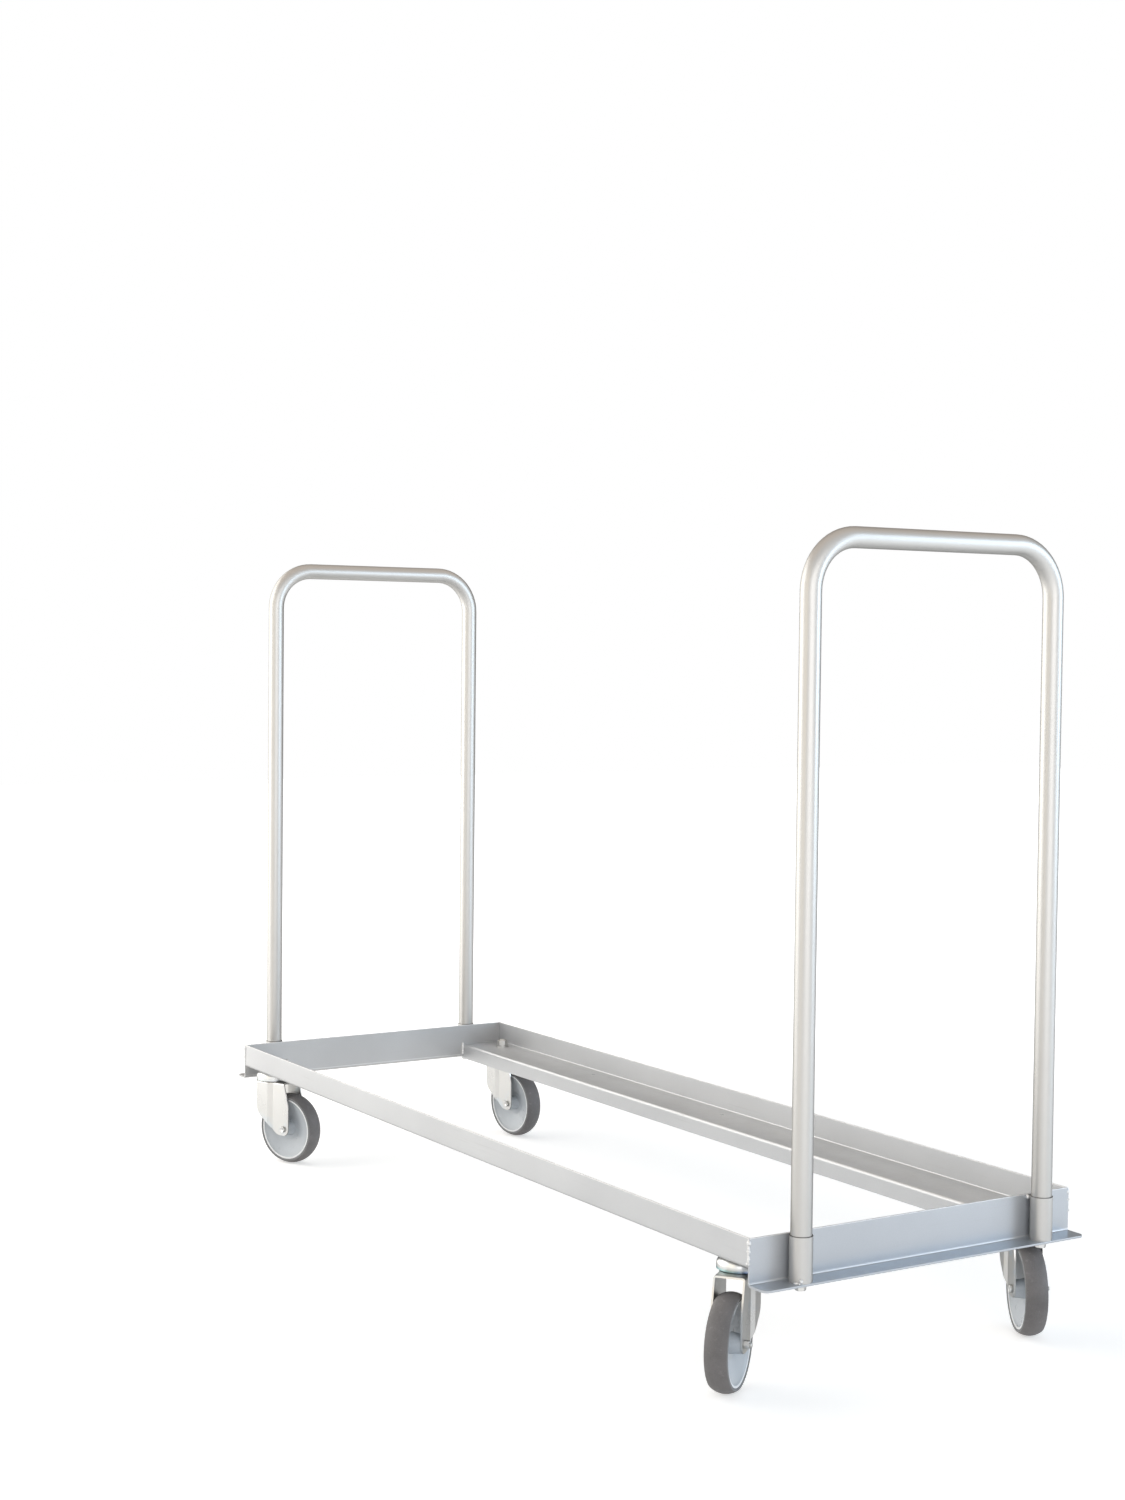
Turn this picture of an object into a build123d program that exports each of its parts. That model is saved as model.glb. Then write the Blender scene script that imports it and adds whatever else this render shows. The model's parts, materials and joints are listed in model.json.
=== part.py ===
from build123d import *
import math
import os

# Chair trolley: a frame of pressed sheet rails on four swivel castors, with a push hoop at each end.
# Millimetres. X runs along the trolley with the front at +X, Y across it with the left at +Y, and Z up.
# The origin is on the floor under the middle of the frame.

# Frame rails
frame_length = 1575.0         # over the webs of the end rails
frame_width = 550.0           # over the upstands of the side rails
rail_sheet = 3.0
bend_inside = 1.8             # inside radius of every bend in the rails
rail_edge = 0.5               # rounding of the cut edges
upstand_height = 40.3         # shelf underside to rim
shelf_width = 86.0            # outer face to lip face
lip_depth = 27.5              # shelf top to the lip's edge
end_rail_height = 62.5        # rim to the flange's underside
flange_width = 33.0           # web face to the flange's edge
flange_corner = 10.0
drain_hole = 7.0              # diameter
drain_places = (-392.0, 10.0)  # along the left rail; the right rail is the same piece turned round
drain_inset = 30.0            # from the rail's outer face

# Push hoops and their sockets
hoop_tube = 28.0
hoop_wall = 1.5
hoop_leg_inset = 68.0         # leg's centreline to the side rail's outer face
hoop_rise = 885.0             # rail rim to the bar's centreline
hoop_bend = 70.0              # centreline radius
socket_wall = 1.25
socket_play = 0.1             # radial, tube in socket
socket_bend_gap = 0.2         # end of the rail's bend to the socket, filled by the weld
plug_length = 24.0
hoop_bolt = 8.0               # thread diameter
hoop_bolt_reach = 20.0        # thread above the flange's underside
hoop_bolt_play = 0.5          # radial, in the flange
hoop_bolt_head = 5.3
hoop_bolt_flats = 13.0
hoop_washer = 17.0
hoop_washer_thick = 3.0

# Castor places and rest headings: degrees from +X to the way the wheel trails
castor_end_inset = 62.0       # kingpin to the web's outer face
castor_side_inset = 30.0      # kingpin to the upstand's outer face
castor_headings = {
    "front_left": -30.0,
    "front_right": -52.4,
    "rear_left": 7.2,
    "rear_right": 23.1,
}

# Wheels
wheel_diameter = 127.0
tread_width = 29.6            # over the edges of the tread's arc
tread_round = 27.0            # radius of the tread across its width
tyre_thickness = 8.5
tyre_seat = 28.4              # width on the rim
rim_lip = 2.4                 # radial width of the rim's edge
rim_lip_proud = 0.3           # rim edge beyond the tyre's seat
rim_step = 2.6                # rim edge to the dish, radial and axial
web_thickness = 6.0           # at the foot of the dish
web_flat = 22.0               # radius where the dish ends
dish_round = 5.0
hub_diameter = 24.0
hub_taper = 2.0               # radial growth of the hub at the web
sleeve_outer = 12.0
sleeve_inner = 6.2
bore_play = 0.05              # radial, hub on sleeve
hub_end_play = 0.3            # hub end to fork leg
tread_play = 3.95             # tread edge to fork leg

# Axles
axle = 6.0
axle_hole_play = 0.2          # radial, in the legs
axle_head = 4.0
axle_flats = 10.0
axle_nut_height = 7.0
axle_tail = 3.0               # thread past the nut

# Forks
trail = 44.5                  # kingpin to axle, on plan
fork_sheet = 2.5
fork_bend = 3.5               # outside radius where the legs leave the crown
fork_bend_inside = 1.2
crown_clearance = 18.5        # wheel top to the crown's underside
crown_front = 45.5            # kingpin to the crown's front edge
leg_edge = 12.0               # axle centre to the leg's edge
leg_shoulder_drop = 42.0      # crown top to where the front edge turns upright
leg_back = 17.5               # kingpin to the leg's rear edge
leg_back_drop = 57.0          # crown top to where the rear edge turns forward
leg_toe = 14.0                # axle to the foot of the rear slope
leg_back_round = 24.0
leg_toe_round = 20.0
joggle_front = 19.5           # kingpin to the joggle's front end
joggle_back = 8.5
joggle_round = 5.0

# Swivel heads
upper_ball = 6.0
upper_ball_circle = 42.0
upper_ball_count = 14
lower_ball = 5.0
lower_ball_circle = 26.0
lower_ball_count = 9
ball_play = 0.05
boss_rise = 7.4               # crown top to the fork's upper race
boss_gap = 3.7                # boss to cap, radial
boss_edge = 2.0               # outside radius of the boss's rim
boss_hole_play = 0.5          # radial, round the king rivet
head_margin = 0.9             # boss to the fork's widest face
cap_sheet = 2.5
cap_side_gap = 3.5            # upper balls to the cap's wall
cap_shoulder = 9.5            # outside radius
cap_skirt_gap = 0.8           # crown to the cap's skirt
race_thickness = 3.0
race_margin = 6.0             # lower ball circle to the race's rim
rivet_outer = 17.0
rivet_inner = 12.3
rivet_flange = 24.0
rivet_flange_thick = 2.0

# Castor bolts
castor_bolt = 12.0
castor_bolt_play = 0.5        # radial, in the shelf
castor_bolt_head = 7.5
castor_bolt_flats = 18.0
castor_nut_height = 10.4
castor_nut_flats = 18.0
castor_washer = 24.0
castor_washer_thick = 2.5
castor_bolt_tail = 1.5        # thread past the nut
hex_chamfer = 0.8

# Levels, up from the floor
axle_level = wheel_diameter / 2
crown_underside = wheel_diameter + crown_clearance
crown_top = crown_underside + fork_sheet
race_level = crown_top + boss_rise
cap_underside = race_level + upper_ball + 2 * ball_play
cap_top = cap_underside + cap_sheet
shelf_underside = cap_top
shelf_top = shelf_underside + rail_sheet
rim_level = shelf_underside + upstand_height
heel_level = rim_level - end_rail_height
flange_top = heel_level + rail_sheet
bar_level = rim_level + hoop_rise

# Plan places
web_face = frame_length / 2
side_face = frame_width / 2
rail_length = frame_length - 2 * rail_sheet
kingpin_x = web_face - castor_end_inset
kingpin_y = side_face - castor_side_inset
socket_inner = hoop_tube + 2 * socket_play
socket_outer = socket_inner + 2 * socket_wall
hoop_x = web_face + bend_inside + socket_bend_gap + socket_outer / 2
hoop_y = side_face - hoop_leg_inset

# Castor sizes that follow from the ones above
fork_gap = tread_width + 2 * tread_play
leg_face = fork_gap / 2 + fork_sheet
hub_length = fork_gap - 2 * hub_end_play
rim_radius = wheel_diameter / 2 - tyre_thickness
cap_inner_radius = upper_ball_circle / 2 + upper_ball / 2 + cap_side_gap
cap_radius = cap_inner_radius + cap_sheet
boss_radius = cap_inner_radius - boss_gap
boss_hole = rivet_outer / 2 + boss_hole_play
head_face = boss_radius + head_margin
lower_ball_level = race_level - fork_sheet - ball_play - lower_ball / 2
race_top = lower_ball_level - lower_ball / 2 - ball_play
race_underside = race_top - race_thickness
rivet_foot = race_underside - rivet_flange_thick
castor_bolt_top = shelf_top + castor_washer_thick + castor_nut_height + castor_bolt_tail

ends = {"front": 1, "rear": -1}
sides = {"left": 1, "right": -1}


def ring(outer, inner, low, high):
    # Upright tube or washer on the Z axis, given by diameters.
    body = Pos(0, 0, (low + high) / 2) * Cylinder(outer / 2, high - low)
    return body - Pos(0, 0, (low + high) / 2) * Cylinder(inner / 2, high - low)


def hexagon(flats, low, high, chamfered_low, chamfered_high):
    # Hexagonal prism on the Z axis, its corners turned off at the free faces.
    corner = flats / math.sqrt(3)
    body = Pos(0, 0, low) * extrude(RegularPolygon(flats / 2, 6, major_radius=False), high - low)
    slope = corner - flats / 2
    low_rise = hex_chamfer if chamfered_low else 0
    high_rise = hex_chamfer if chamfered_high else 0
    outline = [(0, low), (corner - slope * bool(low_rise), low), (corner, low + low_rise)]
    outline += [(corner, high - high_rise), (corner - slope * bool(high_rise), high), (0, high)]
    outline = [point for i, point in enumerate(outline) if i == 0 or point != outline[i - 1]]
    turned = revolve(make_face(Plane.XZ * Polyline(*outline, close=True)), Axis.Z)
    return body & turned


def side_rail():
    # Left rail: section on the YZ plane, run along X, with its castor and drain holes.
    bend_outside = bend_inside + rail_sheet
    lip_face = side_face - shelf_width
    lip_foot = shelf_top - lip_depth
    section = FilletPolyline(
        (side_face, shelf_underside),
        (side_face, rim_level),
        (side_face - rail_sheet, rim_level),
        (side_face - rail_sheet, shelf_top),
        (lip_face, shelf_top),
        (lip_face, lip_foot),
        (lip_face + rail_sheet, lip_foot),
        (lip_face + rail_sheet, shelf_underside),
        radius=[bend_outside, rail_edge, rail_edge, bend_inside, bend_outside, rail_edge, rail_edge, bend_inside],
        close=True,
    )
    rail = extrude(make_face(Plane.YZ * section), rail_length / 2, both=True)
    mid_shelf = (shelf_underside + shelf_top) / 2
    bolt_hole = castor_bolt / 2 + castor_bolt_play
    for end in ends.values():
        rail -= Pos(end * kingpin_x, kingpin_y, mid_shelf) * Cylinder(bolt_hole, 2 * rail_sheet)
    for place in drain_places:
        rail -= Pos(place, side_face - drain_inset, mid_shelf) * Cylinder(drain_hole / 2, 2 * rail_sheet)
    return rail


def end_rail():
    # Front rail: section on the XZ plane, run along Y, with the hoop bolts' holes in its flange.
    bend_outside = bend_inside + rail_sheet
    section = FilletPolyline(
        (web_face - rail_sheet, heel_level),
        (web_face + flange_width, heel_level),
        (web_face + flange_width, flange_top),
        (web_face, flange_top),
        (web_face, rim_level),
        (web_face - rail_sheet, rim_level),
        radius=[bend_outside, rail_edge, rail_edge, bend_inside, rail_edge, rail_edge],
        close=True,
    )
    rail = extrude(make_face(Plane.XZ * section), frame_width / 2, both=True)
    rounded = RectangleRounded(4 * flange_width, frame_width, flange_corner)
    flange_plan = Pos(web_face - flange_width, 0, heel_level) * extrude(rounded, rail_sheet + bend_inside)
    web_block = Pos(web_face - rail_sheet, 0, rim_level) * Box(2 * rail_sheet, frame_width, 2 * end_rail_height)
    rail &= flange_plan + web_block
    for side in sides.values():
        hole = hoop_bolt / 2 + hoop_bolt_play
        rail -= Pos(hoop_x, side * hoop_y, heel_level + rail_sheet / 2) * Cylinder(hole, 2 * rail_sheet)
    return rail


def push_hoop():
    # Front hoop: a bent tube from flange to flange, open at its feet.
    path = FilletPolyline(
        (hoop_x, -hoop_y, flange_top),
        (hoop_x, -hoop_y, bar_level),
        (hoop_x, hoop_y, bar_level),
        (hoop_x, hoop_y, flange_top),
        radius=hoop_bend,
    )
    section = Pos(hoop_x, -hoop_y, flange_top) * (Circle(hoop_tube / 2) - Circle(hoop_tube / 2 - hoop_wall))
    return sweep(section, path=path)


def hoop_plug():
    # Threaded plug in a hoop foot, on the Z axis.
    return ring(hoop_tube - 2 * hoop_wall, hoop_bolt, flange_top, flange_top + plug_length)


def hoop_bolt_piece():
    # Bolt from below the flange into the hoop's plug, on the Z axis.
    seat = heel_level - hoop_washer_thick
    shank = Pos(0, 0, seat) * Cylinder(
        hoop_bolt / 2, hoop_bolt_reach + hoop_washer_thick, align=(Align.CENTER, Align.CENTER, Align.MIN)
    )
    return hexagon(hoop_bolt_flats, seat - hoop_bolt_head, seat, True, False) + shank


def castor_cap():
    # Upper race: a pressed cup with a round shoulder, on the kingpin's axis.
    skirt = crown_top + cap_skirt_gap
    hole = rivet_outer / 2
    outline = FilletPolyline(
        (hole, cap_top),
        (cap_radius, cap_top),
        (cap_radius, skirt),
        (cap_inner_radius, skirt),
        (cap_inner_radius, cap_underside),
        (hole, cap_underside),
        radius=[0, cap_shoulder, 0, 0, cap_shoulder - cap_sheet, 0],
        close=True,
    )
    return revolve(make_face(Plane.XZ * outline), Axis.Z)


def ball_row(diameter, circle, count, level):
    return [
        Pos(circle / 2 * math.cos(turn), circle / 2 * math.sin(turn), level) * Sphere(diameter / 2)
        for turn in (2 * math.pi * i / count for i in range(count))
    ]


def castor_balls():
    upper_level = race_level + ball_play + upper_ball / 2
    upper = ball_row(upper_ball, upper_ball_circle, upper_ball_count, upper_level)
    lower = ball_row(lower_ball, lower_ball_circle, lower_ball_count, lower_ball_level)
    return Compound(children=upper + lower)


def castor_race():
    return ring(lower_ball_circle + 2 * race_margin, rivet_outer, race_underside, race_top)


def king_rivet():
    # Hollow rivet that holds the cap and the lower race together.
    barrel = ring(rivet_outer, rivet_inner, rivet_foot, cap_top)
    return barrel + ring(rivet_flange, rivet_inner, rivet_foot, race_underside)


def castor_bolt_piece():
    # Bolt up through the king rivet and the shelf, its head under the rivet.
    shank = Pos(0, 0, rivet_foot) * Cylinder(
        castor_bolt / 2, castor_bolt_top - rivet_foot, align=(Align.CENTER, Align.CENTER, Align.MIN)
    )
    return hexagon(castor_bolt_flats, rivet_foot - castor_bolt_head, rivet_foot, True, False) + shank


def castor_nut():
    low = shelf_top + castor_washer_thick
    high = low + castor_nut_height
    body = hexagon(castor_nut_flats, low, high, True, True)
    return body - Pos(0, 0, (low + high) / 2) * Cylinder(castor_bolt / 2, 2 * castor_nut_height)


def fork_plan(inset, front, back):
    # Plan outline of the fork: half-widths at the wheel and at the head, joined by the joggle.
    slope = math.atan2(head_face - leg_face, joggle_front - joggle_back)
    shift = inset * math.tan(slope / 2)
    points = [
        (front, leg_face - inset),
        (joggle_front - shift, leg_face - inset),
        (joggle_back - shift, head_face - inset),
        (back, head_face - inset),
    ]
    mirrored = [(u, -w) for u, w in reversed(points)]
    front_round = joggle_round + inset
    back_round = joggle_round + fork_sheet - inset
    radii = [0, front_round, back_round, 0]
    return make_face(FilletPolyline(*points, *mirrored, radius=radii + radii[::-1], close=True))


def fork():
    # Pressed fork: crown and two legs of one sheet, with the upper race pressed up out of the crown.
    front = trail + 2 * leg_edge
    crown_round = math.hypot(leg_back, head_face)
    foot = axle_level - leg_edge
    block = Pos(0, 0, foot) * extrude(fork_plan(0, front, -leg_back), crown_top - foot)
    top_sides = block.faces().sort_by(Axis.Z)[-1].edges().filter_by(Axis.Y, reverse=True)
    block = fillet(top_sides, fork_bend)
    hollow = Pos(0, 0, foot - fork_sheet) * extrude(
        fork_plan(fork_sheet, 2 * front, -2 * front), crown_underside - foot + fork_sheet
    )
    hollow_sides = hollow.faces().sort_by(Axis.Z)[-1].edges().filter_by(Axis.Y, reverse=True)
    hollow = fillet(hollow_sides, fork_bend_inside)
    side_view = FilletPolyline(
        (crown_front, crown_top),
        (trail + leg_edge, crown_top - leg_shoulder_drop),
        (trail + leg_edge, foot),
        (trail - leg_toe, foot),
        (-leg_back, crown_top - leg_back_drop),
        (-leg_back, crown_top),
        radius=[0, leg_back_round, leg_edge, leg_toe_round, leg_back_round, 0],
        close=True,
    )
    legs = (block - hollow) & extrude(make_face(Plane.XZ * side_view), 2 * head_face, both=True)
    crown_tail = Pos(0, 0, crown_underside) * extrude(Circle(crown_round), fork_sheet)
    crown_tail &= Pos(-leg_back, 0, crown_top) * Box(
        2 * crown_round, 2 * crown_round, 2 * crown_top, align=(Align.MAX, Align.CENTER, Align.CENTER)
    )
    boss_inner = boss_radius - fork_sheet
    boss_outline = FilletPolyline(
        (boss_hole, race_level),
        (boss_radius, race_level),
        (boss_radius, crown_underside),
        (boss_inner, crown_underside),
        (boss_inner, race_level - fork_sheet),
        (boss_hole, race_level - fork_sheet),
        radius=[0, boss_edge, 0, 0, fork_bend_inside, 0],
        close=True,
    )
    body = legs + crown_tail - Pos(0, 0, crown_top) * Cylinder(boss_inner, 2 * fork_sheet + crown_clearance)
    body += revolve(make_face(Plane.XZ * boss_outline), Axis.Z)
    axle_hole = Pos(trail, 0, axle_level) * Rot(90, 0, 0) * Cylinder(axle / 2 + axle_hole_play, 4 * head_face)
    return body - axle_hole


def on_axle(piece):
    # A piece made along Z about the origin, laid along the axle: its +Z end to the castor's left.
    return Pos(trail, 0, axle_level) * Rot(-90, 0, 0) * piece


def axle_bolt():
    head_end = -leg_face
    tail_end = leg_face + axle_nut_height + axle_tail
    shank = Pos(0, 0, head_end) * Cylinder(
        axle / 2, tail_end - head_end, align=(Align.CENTER, Align.CENTER, Align.MIN)
    )
    return on_axle(hexagon(axle_flats, head_end - axle_head, head_end, True, False) + shank)


def axle_nut():
    body = hexagon(axle_flats, leg_face, leg_face + axle_nut_height, False, True)
    return on_axle(body - Pos(0, 0, leg_face) * Cylinder(axle / 2, 4 * axle_nut_height))


def axle_sleeve():
    return on_axle(ring(sleeve_outer, sleeve_inner, -fork_gap / 2, fork_gap / 2))


def wheel_centre():
    # Rim, dished web and hub in one moulding; both sides are alike.
    rim_edge = tyre_seat / 2 + rim_lip_proud
    lip_inner = rim_radius - rim_lip
    web_side = web_thickness / 2
    bore = sleeve_outer / 2 + bore_play
    half = [
        (rim_radius, rim_edge),
        (lip_inner, rim_edge),
        (lip_inner - rim_step, rim_edge - rim_step),
        (web_flat, web_side),
        (hub_diameter / 2 + hub_taper, web_side),
        (hub_diameter / 2, hub_length / 2),
        (bore, hub_length / 2),
    ]
    rounding = [0, 0, dish_round, dish_round, 0, 0, 0]
    other_half = [(radius, -height) for radius, height in reversed(half)]
    outline = FilletPolyline(*half, *other_half, radius=rounding + rounding[::-1], close=True)
    return on_axle(revolve(make_face(Plane.XZ * outline), Axis.Z))


def tyre():
    # Rubber tyre moulded on the rim: a round tread whose shoulders roll in to the rim's edges.
    outer = wheel_diameter / 2
    lean = math.asin(tread_width / 2 / tread_round)
    tread_edge = outer - tread_round * (1 - math.cos(lean))
    outline = ThreePointArc((tread_edge, tread_width / 2), (outer, 0), (tread_edge, -tread_width / 2))
    outline += Line((rim_radius, tyre_seat / 2), (rim_radius, -tyre_seat / 2))
    for side in sides.values():
        outline += TangentArc(
            (tread_edge, side * tread_width / 2),
            (rim_radius, side * tyre_seat / 2),
            tangent=(-math.sin(lean), side * math.cos(lean)),
        )
    return on_axle(revolve(make_face(Plane.XZ * outline), Axis.Z))


def write(name, *pieces):
    shape = pieces[0] if len(pieces) == 1 else Compound(children=list(pieces))
    shape.label = name
    export_step(shape, os.path.join("parts", name + ".step"))


def at_feet(piece, end_signs, lift=0):
    # Copies of a piece made on the Z axis, one at each hoop foot of the ends asked for.
    return [Pos(end * hoop_x, side * hoop_y, lift) * piece for end in end_signs for side in sides.values()]


def at_kingpins(piece):
    return [Pos(end * kingpin_x, side * kingpin_y, 0) * piece for end in ends.values() for side in sides.values()]


def main():
    os.makedirs("parts", exist_ok=True)
    half_turn = Rot(0, 0, 180)
    rail = side_rail()
    write("side_rail_left", rail)
    write("side_rail_right", half_turn * rail)
    web = end_rail()
    hoop = push_hoop()
    for end, sign in ends.items():
        turn = Rot(0, 0, 0) if sign > 0 else half_turn
        write("end_rail_" + end, turn * web)
        write("push_hoop_" + end, turn * hoop)
        write("hoop_plugs_" + end, *at_feet(hoop_plug(), [sign]))
        for side, side_sign in sides.items():
            socket = ring(socket_outer, socket_inner, flange_top, rim_level)
            write("hoop_socket_" + end + "_" + side, Pos(sign * hoop_x, side_sign * hoop_y, 0) * socket)
    write("hoop_bolts", *at_feet(hoop_bolt_piece(), ends.values()))
    washer = ring(hoop_washer, hoop_bolt, heel_level - hoop_washer_thick, heel_level)
    write("hoop_washers", *at_feet(washer, ends.values()))
    write("castor_bolts", *at_kingpins(castor_bolt_piece()))
    write("castor_nuts", *at_kingpins(castor_nut()))
    washer = ring(castor_washer, castor_bolt, shelf_top, shelf_top + castor_washer_thick)
    write("castor_washers", *at_kingpins(washer))
    castor_pieces = {
        "castor_cap": castor_cap(),
        "castor_balls": castor_balls(),
        "castor_race": castor_race(),
        "king_rivet": king_rivet(),
        "fork": fork(),
        "axle_bolt": axle_bolt(),
        "axle_nut": axle_nut(),
        "axle_sleeve": axle_sleeve(),
        "wheel_centre": wheel_centre(),
        "tyre": tyre(),
    }
    for end, end_sign in ends.items():
        for side, side_sign in sides.items():
            place = end + "_" + side
            put = Pos(end_sign * kingpin_x, side_sign * kingpin_y, 0) * Rot(0, 0, castor_headings[place])
            for name, piece in castor_pieces.items():
                write(name + "_" + place, put * piece)


main()
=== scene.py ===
import bpy
import bmesh
import json
import math
import random
from mathutils import Matrix, Vector


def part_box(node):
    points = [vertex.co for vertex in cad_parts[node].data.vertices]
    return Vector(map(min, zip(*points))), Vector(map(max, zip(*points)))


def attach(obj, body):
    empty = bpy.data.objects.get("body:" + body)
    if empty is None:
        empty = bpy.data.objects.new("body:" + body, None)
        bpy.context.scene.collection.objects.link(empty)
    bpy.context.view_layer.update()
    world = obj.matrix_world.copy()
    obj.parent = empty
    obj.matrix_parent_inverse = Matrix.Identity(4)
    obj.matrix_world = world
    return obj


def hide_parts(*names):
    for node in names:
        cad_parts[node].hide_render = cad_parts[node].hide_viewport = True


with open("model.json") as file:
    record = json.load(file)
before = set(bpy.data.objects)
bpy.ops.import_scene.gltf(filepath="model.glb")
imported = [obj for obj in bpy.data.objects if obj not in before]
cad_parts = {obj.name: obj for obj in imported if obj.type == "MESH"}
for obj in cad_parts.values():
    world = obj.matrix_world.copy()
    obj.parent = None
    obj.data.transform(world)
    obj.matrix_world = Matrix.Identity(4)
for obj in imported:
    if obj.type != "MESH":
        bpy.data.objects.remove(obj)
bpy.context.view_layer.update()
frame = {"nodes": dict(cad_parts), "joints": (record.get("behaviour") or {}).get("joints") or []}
nodes = frame["nodes"]
joints = {joint["name"]: joint for joint in frame["joints"]}
castorPlaces = ("front_left", "front_right", "rear_left", "rear_right")


# Camera at the photograph's viewing angle
shot = {
    "place": (2.9966, -1.9286, 0.9344),
    "yaw": 58.22,      # degrees, 0 looks along +Y
    "pitch": 2.43,     # down
    "roll": -0.59,
    "lens": 52.94,
    "sensor": 36.0,    # on the tall side of the picture
    "seesTo": 60.0,
}


def placeCamera():
    yaw, pitch, roll = (math.radians(shot[key]) for key in ("yaw", "pitch", "roll"))
    forward = Vector((-math.sin(yaw) * math.cos(pitch), math.cos(yaw) * math.cos(pitch), -math.sin(pitch)))
    level = Vector((math.cos(yaw), math.sin(yaw), 0))
    down = forward.cross(level)
    right = math.cos(roll) * level + math.sin(roll) * down
    lower = math.cos(roll) * down - math.sin(roll) * level
    turn = Matrix((right, -lower, -forward)).transposed().to_4x4()
    data = bpy.data.cameras.new("shopCamera")
    data.sensor_fit = "VERTICAL"
    data.sensor_height = shot["sensor"]
    data.lens = shot["lens"]
    data.clip_end = shot["seesTo"]
    camera = bpy.data.objects.new("shopCamera", data)
    camera.matrix_world = Matrix.Translation(shot["place"]) @ turn
    bpy.context.scene.collection.objects.link(camera)
    bpy.context.scene.camera = camera


placeCamera()
print("camera placed")


# Small helpers for node trees
def newGroup(name, inputs, outputs):
    tree = bpy.data.node_groups.new(name, "ShaderNodeTree")
    for label, kind, value in inputs:
        socket = tree.interface.new_socket(name=label, in_out="INPUT", socket_type="NodeSocket" + kind)
        socket.default_value = value
    for label, kind in outputs:
        tree.interface.new_socket(name=label, in_out="OUTPUT", socket_type="NodeSocket" + kind)
    return tree, tree.nodes.new("NodeGroupInput"), tree.nodes.new("NodeGroupOutput")


def addNode(tree, kind, **settings):
    node = tree.nodes.new("ShaderNode" + kind)
    for key, value in settings.items():
        setattr(node, key, value)
    return node


def feed(tree, socket, source):
    # a link where the source is a socket, a plain value where it is a number
    if isinstance(source, bpy.types.NodeSocket):
        tree.links.new(source, socket)
    else:
        socket.default_value = source


def calc(tree, operation, first, second=0.0):
    node = addNode(tree, "Math", operation=operation)
    feed(tree, node.inputs[0], first)
    feed(tree, node.inputs[1], second)
    return node.outputs[0]


def weigh(tree, first, second, shares):
    parts = [calc(tree, "MULTIPLY", value, share) for value, share in zip((first, second), shares)]
    return calc(tree, "ADD", *parts)


def vectorCalc(tree, operation, first, second=None, scale=None):
    node = addNode(tree, "VectorMath", operation=operation)
    feed(tree, node.inputs[0], first)
    if second is not None:
        feed(tree, node.inputs[1], second)
    if scale is not None:
        feed(tree, node.inputs["Scale"], scale)
    return node.outputs["Value"] if operation in ("DOT_PRODUCT", "LENGTH") else node.outputs[0]


def noise(tree, vector, scale, detail=3.0, rough=0.55, stretch=None):
    if stretch is not None:
        vector = vectorCalc(tree, "MULTIPLY", vector, stretch)
    node = addNode(tree, "TexNoise")
    feed(tree, node.inputs["Vector"], vector)
    feed(tree, node.inputs["Scale"], scale)
    node.inputs["Detail"].default_value = detail
    node.inputs["Roughness"].default_value = rough
    return node.outputs[0]


def span(tree, value, fromLow, fromHigh, toLow=0.0, toHigh=1.0):
    node = addNode(tree, "MapRange", interpolation_type="SMOOTHSTEP")
    for socket, source in zip(node.inputs, (value, fromLow, fromHigh, toLow, toHigh)):
        feed(tree, socket, source)
    return node.outputs[0]


def blendColour(tree, share, first, second):
    # the Mix node keeps its colours in inputs 6 and 7 and output 2
    node = addNode(tree, "Mix", data_type="RGBA")
    feed(tree, node.inputs[0], share)
    for socket, source in ((node.inputs[6], first), (node.inputs[7], second)):
        feed(tree, socket, source if isinstance(source, bpy.types.NodeSocket) else (*source, 1.0))
    return node.outputs[2]


def useGroup(tree, group, **values):
    node = addNode(tree, "Group", node_tree=group)
    for key, value in values.items():
        feed(tree, node.inputs[key], value)
    return node


# Shared surface effects, with noise scales in waves per metre
noiseSpan = (0.3, 0.7)   # most of a noise pattern lies between these values


def spread(tree, pattern, limits=(0.0, 1.0)):
    return span(tree, pattern, *noiseSpan, *limits)


# Paint and plating: metal flakes, orange peel and broad clouds
skinLook = {
    "flake": 1400.0,
    "peel": 190.0,
    "cloud": 5.0,
    "toneShares": (0.6, 0.4),       # of clouds and flakes
    "glossShares": (0.7, 0.3),      # of clouds and peel
    "heightShares": (0.75, 0.25),   # of peel and flakes
}


def buildPaintSkin():
    tree, entry, leave = newGroup(
        "paintSkin",
        [(label, "Float", skinLook[label.lower()]) for label in ("Flake", "Peel", "Cloud")],
        [("Tone", "Float"), ("Gloss", "Float"), ("Height", "Float")],
    )
    where = addNode(tree, "TexCoord").outputs["Object"]
    flake = noise(tree, where, entry.outputs["Flake"], detail=1.0)
    peel = noise(tree, where, entry.outputs["Peel"], detail=2.0)
    cloud = noise(tree, where, entry.outputs["Cloud"], detail=4.0)
    feed(tree, leave.inputs["Tone"], weigh(tree, cloud, flake, skinLook["toneShares"]))
    feed(tree, leave.inputs["Gloss"], weigh(tree, cloud, peel, skinLook["glossShares"]))
    feed(tree, leave.inputs["Height"], weigh(tree, peel, flake, skinLook["heightShares"]))
    return tree


# Dust in patches on what faces up
dustLook = {
    "amount": 0.2,
    "patch": 28.0,
    "facingUp": (0.35, 0.95),
    "patchy": (0.35, 0.7),
}


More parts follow.
